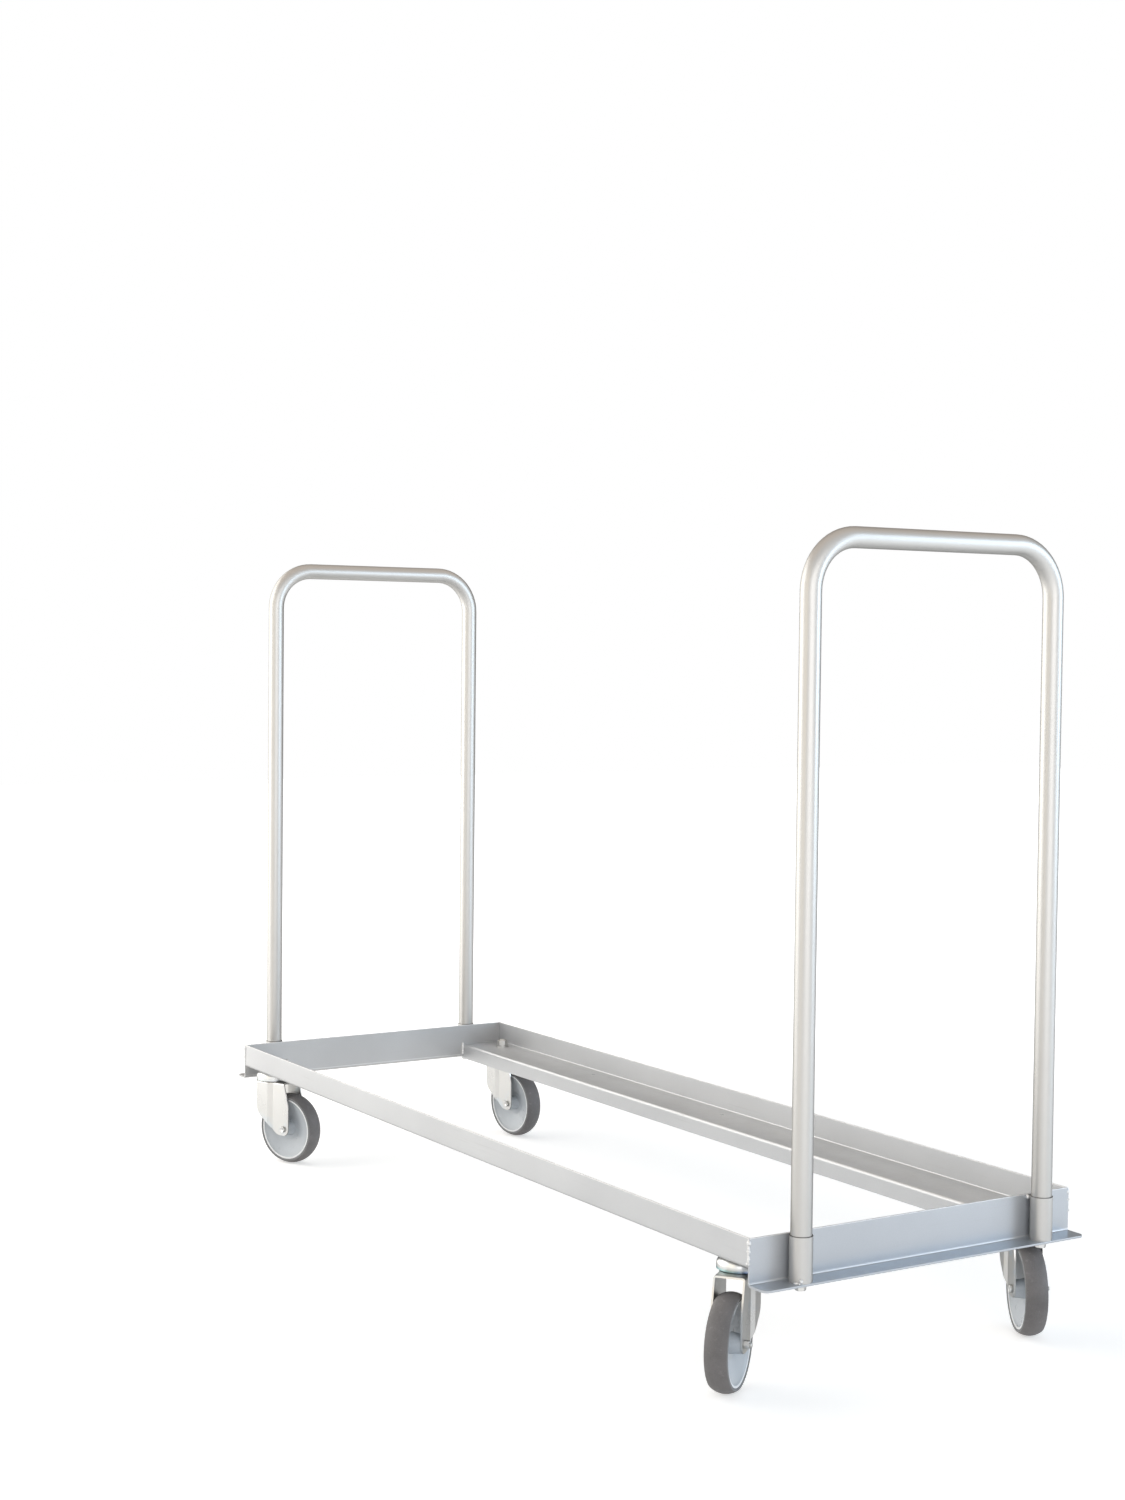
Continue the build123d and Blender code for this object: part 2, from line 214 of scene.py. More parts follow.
def buildSettledDust():
    tree, entry, leave = newGroup(
        "settledDust",
        [("Amount", "Float", dustLook["amount"]), ("Patch", "Float", dustLook["patch"])],
        [("Mask", "Float")],
    )
    facing = addNode(tree, "SeparateXYZ")
    feed(tree, facing.inputs[0], addNode(tree, "NewGeometry").outputs["Normal"])
    where = addNode(tree, "TexCoord").outputs["Object"]
    patch = noise(tree, where, entry.outputs["Patch"], detail=6.0, rough=0.65)
    upward = span(tree, facing.outputs[2], *dustLook["facingUp"])
    mask = calc(tree, "MULTIPLY", upward, span(tree, patch, *dustLook["patchy"]))
    feed(tree, leave.inputs["Mask"], calc(tree, "MULTIPLY", mask, entry.outputs["Amount"]))
    return tree


# Fine rubbed lines in a few areas, long in the direction that is stretched least
rubLook = {
    "amount": 0.3,
    "stretch": (8.0, 220.0, 220.0),
    "lines": (0.58, 0.74),
    "area": 9.0,
    "areaSpan": (0.42, 0.66),
}


def buildRubMarks():
    tree, entry, leave = newGroup(
        "rubMarks",
        [("Stretch", "Vector", rubLook["stretch"]), ("Amount", "Float", rubLook["amount"])],
        [("Mask", "Float")],
    )
    where = addNode(tree, "TexCoord").outputs["Object"]
    lines = noise(tree, where, 1.0, detail=4.0, rough=0.6, stretch=entry.outputs["Stretch"])
    area = noise(tree, where, rubLook["area"], detail=2.0)
    streaks = span(tree, lines, *rubLook["lines"])
    mask = calc(tree, "MULTIPLY", streaks, span(tree, area, *rubLook["areaSpan"]))
    feed(tree, leave.inputs["Mask"], calc(tree, "MULTIPLY", mask, entry.outputs["Amount"]))
    return tree


# A band at one height above the floor, broken where it is ragged
bandLook = {
    "level": 0.2,   # this and the next three are what the inputs start from
    "reach": 0.002,
    "ragged": 0.5,
    "amount": 1.0,
    "breaks": 140.0,
    "breakSpan": (0.4, 0.62),
}


def buildLevelBand():
    tree, entry, leave = newGroup(
        "levelBand",
        [(label, "Float", bandLook[label.lower()]) for label in ("Level", "Reach", "Ragged", "Amount")],
        [("Mask", "Float")],
    )
    where = addNode(tree, "TexCoord").outputs["Object"]
    split = addNode(tree, "SeparateXYZ")
    feed(tree, split.inputs[0], where)
    away = calc(tree, "ABSOLUTE", calc(tree, "SUBTRACT", split.outputs[2], entry.outputs["Level"]))
    near = span(tree, away, 0.0, entry.outputs["Reach"], 1.0, 0.0)
    breaks = noise(tree, where, bandLook["breaks"], detail=5.0, rough=0.65)
    gone = span(tree, breaks, *bandLook["breakSpan"], 1.0, 0.0)
    keep = calc(tree, "SUBTRACT", 1.0, calc(tree, "MULTIPLY", gone, entry.outputs["Ragged"]))
    mask = calc(tree, "MULTIPLY", near, keep)
    feed(tree, leave.inputs["Mask"], calc(tree, "MULTIPLY", mask, entry.outputs["Amount"]))
    return tree


# Distance from a wheel's axle and along it, for rings in the moulding and the seam of the tread
def buildAroundAxle():
    tree, entry, leave = newGroup(
        "aroundAxle",
        [("Centre", "Vector", (0.0, 0.0, 0.0)), ("Axis", "Vector", (0.0, 1.0, 0.0))],
        [("Radius", "Float"), ("Across", "Float")],
    )
    where = addNode(tree, "TexCoord").outputs["Object"]
    offset = vectorCalc(tree, "SUBTRACT", where, entry.outputs["Centre"])
    across = vectorCalc(tree, "DOT_PRODUCT", offset, entry.outputs["Axis"])
    along = vectorCalc(tree, "SCALE", entry.outputs["Axis"], scale=across)
    radius = vectorCalc(tree, "LENGTH", vectorCalc(tree, "SUBTRACT", offset, along))
    feed(tree, leave.inputs["Radius"], radius)
    feed(tree, leave.inputs["Across"], across)
    return tree


paintSkin = buildPaintSkin()
settledDust = buildSettledDust()
rubMarks = buildRubMarks()
levelBand = buildLevelBand()
aroundAxle = buildAroundAxle()
print("surface effects built")


def newMaterial(name):
    material = bpy.data.materials.new(name)
    material.use_nodes = True
    tree = material.node_tree
    return material, tree, tree.nodes["Principled BSDF"]


def addBump(tree, shader, height, settings):
    bump = addNode(tree, "Bump")
    bump.inputs["Strength"].default_value = settings["grain"]
    bump.inputs["Distance"].default_value = settings["grainDepth"]
    feed(tree, bump.inputs["Height"], height)
    feed(tree, shader.inputs["Normal"], bump.outputs[0])


# Places on the frame that the finishes and welds follow
railLow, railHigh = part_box("side_rail_left")
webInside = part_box("end_rail_front")[0].x
socketLow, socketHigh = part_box("hoop_socket_front_left")
rimLevel, lipFoot = railHigh.z, railLow.z
webBend = 0.0022   # from the flange up to the bend between web and flange
# painted highlight lines: a bright band at the rim, partly wear too, and a painted highlight along the bend
# between web and flange
rimWearAndHighlight = {"Level": rimLevel, "Reach": 0.0016, "Ragged": 0.45, "Amount": 1.0}
bendHighlight = {"Level": socketLow.z + webBend, "Reach": 0.0016, "Ragged": 0.15, "Amount": 0.7}

# Silver paint on the rails, sockets and welds
railPaint = {
    "light": (0.608, 0.614, 0.624),
    "dark": (0.552, 0.558, 0.568),
    "dust": (0.44, 0.42, 0.39),
    "rub": (0.36, 0.35, 0.34),
    "wornAndHighlight": (0.84, 0.84, 0.84),   # bright steel along the rims, partly wear and partly a painted highlight line; also the painted highlight along the web's bend
    "edge": (0.45, 0.45, 0.44),   # tint at grazing angles
    "metallic": 0.5,
    "satin": (0.34, 0.44),
    "grain": 0.05,
    "grainDepth": 0.0004,
    "dustAmount": 0.14,
    "dustDulls": 0.35,            # roughness that dust adds
    "rubAmount": 0.16,
    "bands": [("wornAndHighlight", rimWearAndHighlight)],
}
rubAlong = {
    # rub marks lie along the piece
    "x": (7.0, 260.0, 260.0),
    "y": (260.0, 7.0, 260.0),
    "z": (260.0, 260.0, 7.0),
}


def silverPaint(name, settings, direction):
    material, tree, shader = newMaterial(name)
    skin = useGroup(tree, paintSkin)
    dust = useGroup(tree, settledDust, Amount=settings["dustAmount"]).outputs["Mask"]
    rub = useGroup(tree, rubMarks, Stretch=rubAlong[direction], Amount=settings["rubAmount"])
    share = spread(tree, skin.outputs["Tone"])
    colour = blendColour(tree, share, settings["dark"], settings["light"])
    colour = blendColour(tree, rub.outputs["Mask"], colour, settings["rub"])
    colour = blendColour(tree, dust, colour, settings["dust"])
    for tone, band in settings["bands"]:
        mask = useGroup(tree, levelBand, **band).outputs["Mask"]
        colour = blendColour(tree, mask, colour, settings[tone])
    satin = spread(tree, skin.outputs["Gloss"], settings["satin"])
    dulled = calc(tree, "ADD", satin, calc(tree, "MULTIPLY", dust, settings["dustDulls"]))
    feed(tree, shader.inputs["Base Color"], colour)
    feed(tree, shader.inputs["Roughness"], dulled)
    shader.inputs["Metallic"].default_value = settings["metallic"]
    shader.inputs["Specular Tint"].default_value = (*settings["edge"], 1.0)
    addBump(tree, shader, skin.outputs["Height"], settings)
    return material


# End rails: the same paint, glossier on the flat webs; the blue of the light from the front is painted into
# the colour and the edge tint
endPaintBlueLit = dict(
    railPaint,
    light=(0.556, 0.578, 0.610),
    dark=(0.503, 0.525, 0.556),
    edge=(0.36, 0.43, 0.50),
    satin=(0.28, 0.36),
    bands=[("wornAndHighlight", rimWearAndHighlight), ("wornAndHighlight", bendHighlight)],
)

# The rear end rail keeps the glossier webs without the painted blue light
rearEndPaint = dict(
    endPaintBlueLit,
    light=(0.572, 0.573, 0.576),
    dark=(0.518, 0.519, 0.522),
    edge=railPaint["edge"],
)

# Sockets: the same silver, warmer by a painted warm reflection, with a dark line of painted shade where the
# hoop's leg goes in
socketPaint = dict(
    railPaint,
    light=(0.545, 0.536, 0.523),
    dark=(0.492, 0.484, 0.471),
    gapShade=(0.045, 0.043, 0.042),
    metallic=0.8,
    satin=(0.36, 0.44),
    bands=[("gapShade", {"Level": rimLevel, "Reach": 0.0007, "Ragged": 0.2, "Amount": 0.8})],
)

# Welds: the paint lies thick and glossy on them, and its lighter colour is a painted highlight
weldPaintHighlighted = dict(
    railPaint,
    light=(0.80, 0.80, 0.80),
    dark=(0.72, 0.72, 0.72),
    satin=(0.32, 0.42),
    dustAmount=0.05,
    rubAmount=0.0,
    bands=[],
)

# Hoops: a smoother, more metallic silver on the drawn tube
hoopPaint = dict(
    railPaint,
    light=(0.492, 0.485, 0.472),
    dark=(0.458, 0.451, 0.438),
    # a dark ring of painted shade on the leg just above the socket's rim
    gapShade=(0.06, 0.057, 0.055),
    edge=(0.20, 0.20, 0.20),
    metallic=0.92,
    satin=(0.37, 0.42),
    grain=0.004,
    dustAmount=0.03,
    rubAmount=0.05,
    bands=[("gapShade", {"Level": rimLevel, "Reach": 0.0012, "Ragged": 0.2, "Amount": 0.7})],
)

# Bright zinc on the pressed castor pieces
zincPlate = {
    "base": (0.605, 0.602, 0.590),
    "cool": (0.50, 0.58, 0.65),
    "warm": (0.62, 0.595, 0.53),
    "coolPatches": {"scale": 24.0, "detail": 3.0, "spread": (0.52, 0.74), "share": 0.55},
    "warmPatches": {"scale": 31.0, "detail": 2.0, "spread": (0.55, 0.76), "share": 0.5},
    "sheenRight": (0.16, 0.50, 0.50),  # painted green sheen on faces turned to the trolley's right side
    "sheenFront": (0.07, 0.17, 0.46),  # painted blue sheen on faces turned to its front
    "sheenAlong": (0.6, 0.8, 0.0),     # the direction from green to blue
    "sheenSpan": (-0.7, 0.5),
    "edge": (0.26, 0.26, 0.26),
    "metallic": 0.95,
    "satin": (0.26, 0.38),
    "skin": {"Flake": 1800.0, "Peel": 700.0, "Cloud": 22.0},
    "dustAmount": 0.1,
    "dustPatch": 90.0,
    "grain": 0.006,
    "grainDepth": 0.0003,
    "skirt": None,
}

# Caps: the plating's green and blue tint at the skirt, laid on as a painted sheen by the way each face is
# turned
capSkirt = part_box("castor_cap_front_left")[0].z
capZinc = dict(
    zincPlate,
    base=(0.71, 0.715, 0.71),
    cool=(0.46, 0.51, 0.67),
    skirt={"Level": capSkirt, "Reach": 0.0050, "Ragged": 0.35, "Amount": 0.8},
)
capZincRear = dict(capZinc, skirt=dict(capZinc["skirt"], Amount=0.12))   # less of the painted sheen on the rear castors

# Duller zinc on bolts, nuts and washers
boltZinc = dict(
    zincPlate,
    base=(0.62, 0.62, 0.61),
    cool=(0.46, 0.51, 0.55),
    warm=(0.57, 0.53, 0.46),
    satin=(0.28, 0.42),
)


def tintPatches(tree, where, patches):
    spots = noise(tree, where, patches["scale"], patches["detail"])
    return span(tree, spots, *patches["spread"], 0.0, patches["share"])


def zincFinish(name, settings):
    material, tree, shader = newMaterial(name)
    where = addNode(tree, "TexCoord").outputs["Object"]
    skin = useGroup(tree, paintSkin, **settings["skin"])
    coolShare = tintPatches(tree, where, settings["coolPatches"])
    warmShare = tintPatches(tree, where, settings["warmPatches"])
    dust = useGroup(tree, settledDust, Amount=settings["dustAmount"], Patch=settings["dustPatch"])
    colour = blendColour(tree, coolShare, settings["base"], settings["cool"])
    colour = blendColour(tree, warmShare, colour, settings["warm"])
    colour = blendColour(tree, dust.outputs["Mask"], colour, railPaint["dust"])
    # a painted sheen at the skirt, its colour set by the way each face is turned
    if settings["skirt"]:
        band = useGroup(tree, levelBand, **settings["skirt"])
        normal = addNode(tree, "NewGeometry").outputs["Normal"]
        facing = vectorCalc(tree, "DOT_PRODUCT", normal, settings["sheenAlong"])
        towardsFront = span(tree, facing, *settings["sheenSpan"])
        sheen = blendColour(tree, towardsFront, settings["sheenRight"], settings["sheenFront"])
        colour = blendColour(tree, band.outputs["Mask"], colour, sheen)
    feed(tree, shader.inputs["Base Color"], colour)
    feed(tree, shader.inputs["Roughness"], spread(tree, skin.outputs["Gloss"], settings["satin"]))
    shader.inputs["Metallic"].default_value = settings["metallic"]
    shader.inputs["Specular Tint"].default_value = (*settings["edge"], 1.0)
    addBump(tree, shader, skin.outputs["Height"], settings)
    return material


# Pale moulded wheel centres
wheelPlastic = {
    "light": (0.555, 0.592, 0.630),
    "dark": (0.505, 0.538, 0.572),
    "grime": (0.30, 0.29, 0.27),
    "lip": (0.92, 0.93, 0.94),   # a painted highlight along the rim's edge
    "satin": (0.26, 0.38),
    "skin": {"Flake": 900.0, "Peel": 260.0, "Cloud": 30.0},
    "toneSpan": (0.35, 0.65),
    "grimeRadius": (0.040, 0.0512),   # grime gathers towards the rim
    "grimeSpan": (0.45, 0.7),
    "grimeShare": 0.30,
    "lipHighlightRadius": (0.0517, 0.0523),
    "rings": 900.0,                   # moulding rings, in waves per metre
    "ringHeight": 0.5,
    "grain": 0.10,
    "grainDepth": 0.0004,
}


def wheelMoulding(name, settings, joint):
    material, tree, shader = newMaterial(name)
    axle = useGroup(tree, aroundAxle, Centre=joint["pos_m"], Axis=joint["axis"])
    skin = useGroup(tree, paintSkin, **settings["skin"])
    radius, tone = axle.outputs["Radius"], skin.outputs["Tone"]
    rings = noise(tree, calc(tree, "MULTIPLY", radius, settings["rings"]), 1.0, detail=1.0)
    patchy = span(tree, tone, *settings["grimeSpan"], 0.0, settings["grimeShare"])
    grime = calc(tree, "MULTIPLY", span(tree, radius, *settings["grimeRadius"]), patchy)
    colour = blendColour(tree, span(tree, tone, *settings["toneSpan"]), settings["dark"], settings["light"])
    colour = blendColour(tree, grime, colour, settings["grime"])
    # painted highlight along the rim's lip
    colour = blendColour(tree, span(tree, radius, *settings["lipHighlightRadius"]), colour, settings["lip"])
    feed(tree, shader.inputs["Base Color"], colour)
    feed(tree, shader.inputs["Roughness"], spread(tree, skin.outputs["Gloss"], settings["satin"]))
    ringed = calc(tree, "MULTIPLY", rings, settings["ringHeight"])
    addBump(tree, shader, calc(tree, "ADD", ringed, skin.outputs["Height"]), settings)
    return material


# Grey rubber tyres, warmer where the tread has been rolled
tyreRubber = {
    "side": (0.215, 0.217, 0.224),
    "tread": (0.198, 0.187, 0.186),
    "treadRadius": (0.0584, 0.0594),   # where the side turns into the tread
    "shoulder": (0.31, 0.305, 0.30),   # a painted highlight line there
    "shoulderWidth": 0.0008,
    "shoulderHighlightShare": 0.6,
    "scuff": (0.30, 0.285, 0.28),
    "scuffs": 130.0,
    "scuffSpan": (0.56, 0.72),
    "scuffAmount": 0.55,
    "mottle": (0.76, 1.18),
    "matt": (0.48, 0.66),
    "gloss": 0.35,
    "skin": {"Flake": 1500.0, "Peel": 520.0, "Cloud": 26.0},
    "seamWidth": 0.0006,               # mould seam round the middle of the tread
    "seamHeight": 1.5,
    "grain": 0.25,
    "grainDepth": 0.0004,
}


def tyreFinish(name, settings, joint):
    material, tree, shader = newMaterial(name)
    axle = useGroup(tree, aroundAxle, Centre=joint["pos_m"], Axis=joint["axis"])
    skin = useGroup(tree, paintSkin, **settings["skin"])
    where = addNode(tree, "TexCoord").outputs["Object"]
    radius = axle.outputs["Radius"]
    onTread = span(tree, radius, *settings["treadRadius"])
    colour = blendColour(tree, onTread, settings["side"], settings["tread"])
    # a painted highlight line along the shoulder
    fromEdge = calc(tree, "ABSOLUTE", calc(tree, "SUBTRACT", radius, settings["treadRadius"][0]))
    line = span(tree, fromEdge, 0.0, settings["shoulderWidth"], settings["shoulderHighlightShare"], 0.0)
    colour = blendColour(tree, line, colour, settings["shoulder"])
    spots = noise(tree, where, settings["scuffs"], detail=5.0, rough=0.7)
    scuffs = calc(tree, "MULTIPLY", span(tree, spots, *settings["scuffSpan"]), onTread)
    scuffs = calc(tree, "MULTIPLY", scuffs, settings["scuffAmount"])
    colour = blendColour(tree, scuffs, colour, settings["scuff"])
    mottle = spread(tree, skin.outputs["Tone"], settings["mottle"])
    colour = vectorCalc(tree, "SCALE", colour, scale=mottle)
    fromMiddle = calc(tree, "ABSOLUTE", axle.outputs["Across"])
    seam = span(tree, fromMiddle, 0.0, settings["seamWidth"], 1.0, 0.0)
    height = calc(tree, "ADD", skin.outputs["Height"], calc(tree, "MULTIPLY", seam, settings["seamHeight"]))
    feed(tree, shader.inputs["Base Color"], colour)
    feed(tree, shader.inputs["Roughness"], spread(tree, skin.outputs["Gloss"], settings["matt"]))
    shader.inputs["Specular IOR Level"].default_value = settings["gloss"]
    addBump(tree, shader, height, settings)
    return material


paintWeldHighlighted = silverPaint("silverPaintWeldHighlighted", weldPaintHighlighted, "z")
zincBolt = zincFinish("boltZinc", boltZinc)


def coat(node, material):
    slots = nodes[node].material_slots
    for slot in slots:
        slot.material = material
    if not slots:
        nodes[node].data.materials.append(material)


def coatEverything():
    zincCastor = zincFinish("brightZinc", zincPlate)
    finishes = {
        "side_rail": silverPaint("silverPaintSide", railPaint, "x"),
        "end_rail_front": silverPaint("silverPaintFrontBlueLit", endPaintBlueLit, "y"),
        "end_rail_rear": silverPaint("silverPaintRear", rearEndPaint, "y"),
        "hoop_socket": silverPaint("silverPaintSocket", socketPaint, "z"),
        "push_hoop": silverPaint("silverPaintHoop", hoopPaint, "z"),
        "castor_cap_front": zincFinish("capZinc", capZinc),
        "castor_cap_rear": zincFinish("capZincRear", capZincRear),
        "castor_race": zincCastor,
        "fork": zincCastor,
    }
    for name in nodes:
        family = next((word for word in finishes if name.startswith(word)), None)
        coat(name, finishes[family] if family else zincBolt)
    for place in castorPlaces:
        joint = joints["roll_" + place]
        coat("wheel_centre_" + place, wheelMoulding("wheelMoulding_" + place, wheelPlastic, joint))
        coat("tyre_" + place, tyreFinish("greyRubber_" + place, tyreRubber, joint))


coatEverything()
print("finishes on all CAD nodes")


def addPiece(name, mesh, material, body):
    bmesh.ops.recalc_face_normals(mesh, faces=mesh.faces)
    data = bpy.data.meshes.new(name)
    mesh.to_mesh(data)
    mesh.free()
    for face in data.polygons:
        face.use_smooth = True
    data.materials.append(material)
    piece = bpy.data.objects.new(name, data)
    bpy.context.scene.collection.objects.link(piece)
    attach(piece, body)
    return piece


def skinRings(mesh, rings):
    # faces between rings of equal count, closed at both ends
    count = len(rings[0])
    for lower, upper in zip(rings, rings[1:]):
        for i in range(count):
            j = (i + 1) % count
            mesh.faces.new((lower[i], lower[j], upper[j], upper[i]))
    mesh.faces.new(rings[0][::-1])
    mesh.faces.new(rings[-1])


def fullTurn(count):
    return [2 * math.pi * i / count for i in range(count)]


# Weld beads, painted over with the rails
beadShape = {
    "around": 14,
    "stepsPerPuddle": 6,
    "swell": (0.84, 1.18),   # puddles differ in size
    "endSize": 0.12,         # share of the section that is left at a bead's two ends
}
cornerWeld = {"radius": 0.0019, "pitch": 0.0034, "ripple": 0.18, "wander": 0.0004, "seed": 0}
cornerBlob = {"radius": 0.0031, "pitch": 0.0050, "ripple": 0.25, "wander": 0.0006, "seed": 0}
lipWeld = {"radius": 0.0034, "pitch": 0.0046, "ripple": 0.22, "wander": 0.0006, "seed": 1}
socketWeld = {"radius": 0.0032, "pitch": 0.0048, "ripple": 0.22, "wander": 0.0005, "seed": 2}
footWeld = {"radius": 0.0024, "pitch": 0.0062, "ripple": 0.42, "wander": 0.0005, "seed": 4}
dropWeld = {"radius": 0.0027, "pitch": 0.0034, "ripple": 0.12, "wander": 0.0003, "seed": 5}
frameWelds = {
    "sheet": 0.003,
    "upstand": 0.0403,             # from the shelf's underside up to the rim
    "cornerOut": 0.0010,           # past the end of the side rail
    "cornerFrom": 0.0048,          # clear of the shelf's bend
    "cornerTo": 0.0014,            # below the rim
    "blobs": ((0.030, 0.038), (0.021, 0.025), (0.005, 0.010)),   # above the shelf's underside
    "lipIn": 0.0006,               # short of the end of the side rail
    "lipFrom": 0.0075,             # clear of the web's bend at its foot
    "lipTo": 0.0035,               # a little way up the web, above the shelf
    "tackOut": 0.0022,             # off the web's face
    "tackBelow": 0.0034,           # below the rim
    "tackAlong": (0.0075, 0.0135),   # inward from the middle of the socket
    "footAbove": 0.0008,
    "footLeftHand": (-74, -30),    # degrees from straight out of that end
    "footRightHand": (96, 150),
    "dropTurn": -37,
    "dropOut": 0.0004,
    "dropHeight": 0.0062,
    "firstSeed": 3,
    "seedStep": 11,
    "blobSeedStep": 10,
}


def weldBead(name, path, length, bead, seed):
    # a run of overlapping puddles along a path that runs from 0 to 1
    chance = random.Random(seed + bead["seed"])
    perPuddle = beadShape["stepsPerPuddle"]
    puddles = max(2, round(length / bead["pitch"]))
    steps = puddles * perPuddle
    swells = [chance.uniform(*beadShape["swell"]) for _ in range(puddles + 1)]
    shifts = [(chance.uniform(-1, 1), chance.uniform(-1, 1)) for _ in range(puddles + 1)]
    turns = fullTurn(beadShape["around"])
    mesh = bmesh.new()
    rings = []
    for step in range(steps + 1):
        puddle, part = divmod(step, perPuddle)
        part /= perPuddle
        after = min(puddle + 1, puddles)
        crest = math.sqrt(max(0.0, 1 - (2 * part - 1) ** 2))
        swell = swells[puddle] * (1 - part) + swells[after] * part
        taper = math.sqrt(min(1.0, beadShape["endSize"] + min(step, steps - step) / perPuddle))
        radius = bead["radius"] * swell * taper * (1 - bead["ripple"] * (1 - crest))
        ahead = path(min(1.0, (step + 0.5) / steps))
        behind = path(max(0.0, (step - 0.5) / steps))
        along = (ahead - behind).normalized()
        side = along.orthogonal().normalized()
        up = along.cross(side)
        drifts = zip(shifts[puddle], shifts[after])
        dx, dy = (bead["wander"] * (a * (1 - part) + b * part) for a, b in drifts)
        middle = path(step / steps) + side * dx + up * dy
        rim = [middle + radius * (math.cos(turn) * side + math.sin(turn) * up) for turn in turns]
        rings.append([mesh.verts.new(point) for point in rim])
    skinRings(mesh, rings)
    addPiece(name, mesh, paintWeldHighlighted, "frame")


def straightWeld(name, start, end, bead, seed):
    start, end = Vector(start), Vector(end)
    weldBead(name, lambda part: start.lerp(end, part), (end - start).length, bead, seed)


def roundWeld(name, centre, radius, fromAngle, toAngle, bead, seed):
    def path(part):
        angle = math.radians(fromAngle + (toAngle - fromAngle) * part)
        return centre + radius * Vector((math.cos(angle), math.sin(angle), 0))

    weldBead(name, path, radius * math.radians(abs(toAngle - fromAngle)), bead, seed)


def weldRail(tag, endSign, sideSign, seed):
    # the corner seam with its blobs, and the seam at the shelf's inner lip
    shelfUnder = rimLevel - frameWelds["upstand"]
    x, y = endSign * (railHigh.x + frameWelds["cornerOut"]), sideSign * railHigh.y
    start = (x, y, shelfUnder + frameWelds["cornerFrom"])
    end = (x, y, rimLevel - frameWelds["cornerTo"])
    straightWeld("weldCorner_" + tag, start, end, cornerWeld, seed)
    for number, (low, high) in enumerate(frameWelds["blobs"], 1):
        name = "weldBlob_" + tag + "_" + str(number)
        blobSeed = seed + frameWelds["blobSeedStep"] * number
        straightWeld(name, (x, y, shelfUnder + low), (x, y, shelfUnder + high), cornerBlob, blobSeed)
    x, y = endSign * (railHigh.x - frameWelds["lipIn"]), sideSign * railLow.y
    start = (x, y, lipFoot + frameWelds["lipFrom"])
    end = (x, y, shelfUnder + frameWelds["sheet"] + frameWelds["lipTo"])
    straightWeld("weldLip_" + tag, start, end, lipWeld, seed)


def weldSocket(tag, endSign, sideSign, seed):
    # a tack between the web's rim and the inner flank of the socket, and a bead at the socket's foot
    socket = (socketLow + socketHigh) / 2
    socketRadius = (socketHigh.x - socketLow.x) / 2
    x = endSign * (webInside + frameWelds["sheet"] + frameWelds["tackOut"])
    z = rimLevel - frameWelds["tackBelow"]
    start, end = ((x, sideSign * (socket.y - inward), z) for inward in frameWelds["tackAlong"])
    straightWeld("weldSocket_" + tag, start, end, socketWeld, seed)
    leftHand = endSign * sideSign < 0   # for someone who faces that end
    facing = 0 if endSign > 0 else 180
    turned = frameWelds["footLeftHand" if leftHand else "footRightHand"]
    fromAngle, toAngle = (facing + angle for angle in turned)
    foot = Vector((endSign * socket.x, sideSign * socket.y, socketLow.z + frameWelds["footAbove"]))
    roundWeld("weldFoot_" + tag, foot, socketRadius, fromAngle, toAngle, footWeld, seed)
    if leftHand:
        # a drop stands beside the bead
        angle = math.radians(facing + frameWelds["dropTurn"])
        outward = Vector((math.cos(angle), math.sin(angle), 0))
        start = foot + (socketRadius + frameWelds["dropOut"]) * outward
        end = start + Vector((0, 0, frameWelds["dropHeight"]))
        straightWeld("weldDrop_" + tag, start, end, dropWeld, seed)


def weldTheFrame():
    seed = frameWelds["firstSeed"]
    for end, endSign in (("front", 1), ("rear", -1)):
        for side, sideSign in (("left", 1), ("right", -1)):
            tag = end + "_" + side
            weldRail(tag, endSign, sideSign, seed)
            weldSocket(tag, endSign, sideSign, seed)
            seed += frameWelds["seedStep"]


weldTheFrame()
print("weld beads laid")


# Threaded bolts: hex heads with turned corners, and threads that show past the nuts
castorBolt = {
    "thread": 0.012,
    "pitch": 0.00175,
    "depth": 0.00107,
    "flats": 0.018,
    "head": 0.0075,
    "threaded": 0.022,
}
axleBolt = {
    "thread": 0.006,
    "pitch": 0.001,
    "depth": 0.0006,
    "flats": 0.010,
    "head": 0.004,
    "threaded": 0.012,
}
boltShape = {
    "around": 36,
    "stepsPerPitch": 10,
    "face": 0.97,           # the head's round outer face, as a share of the flats
    "dish": (0.86, 0.9),    # shares of that face, round its dished middle
    "dishDepth": 0.0003,
    "cornerSlope": 30,      # degrees, turned off the hex corners
    "tip": 1.1,             # thread depths that the tip is turned down by
}


def hexRadius(flats, angle):
    sector = math.pi / 3
    return flats / 2 / math.cos((angle % sector) - sector / 2)


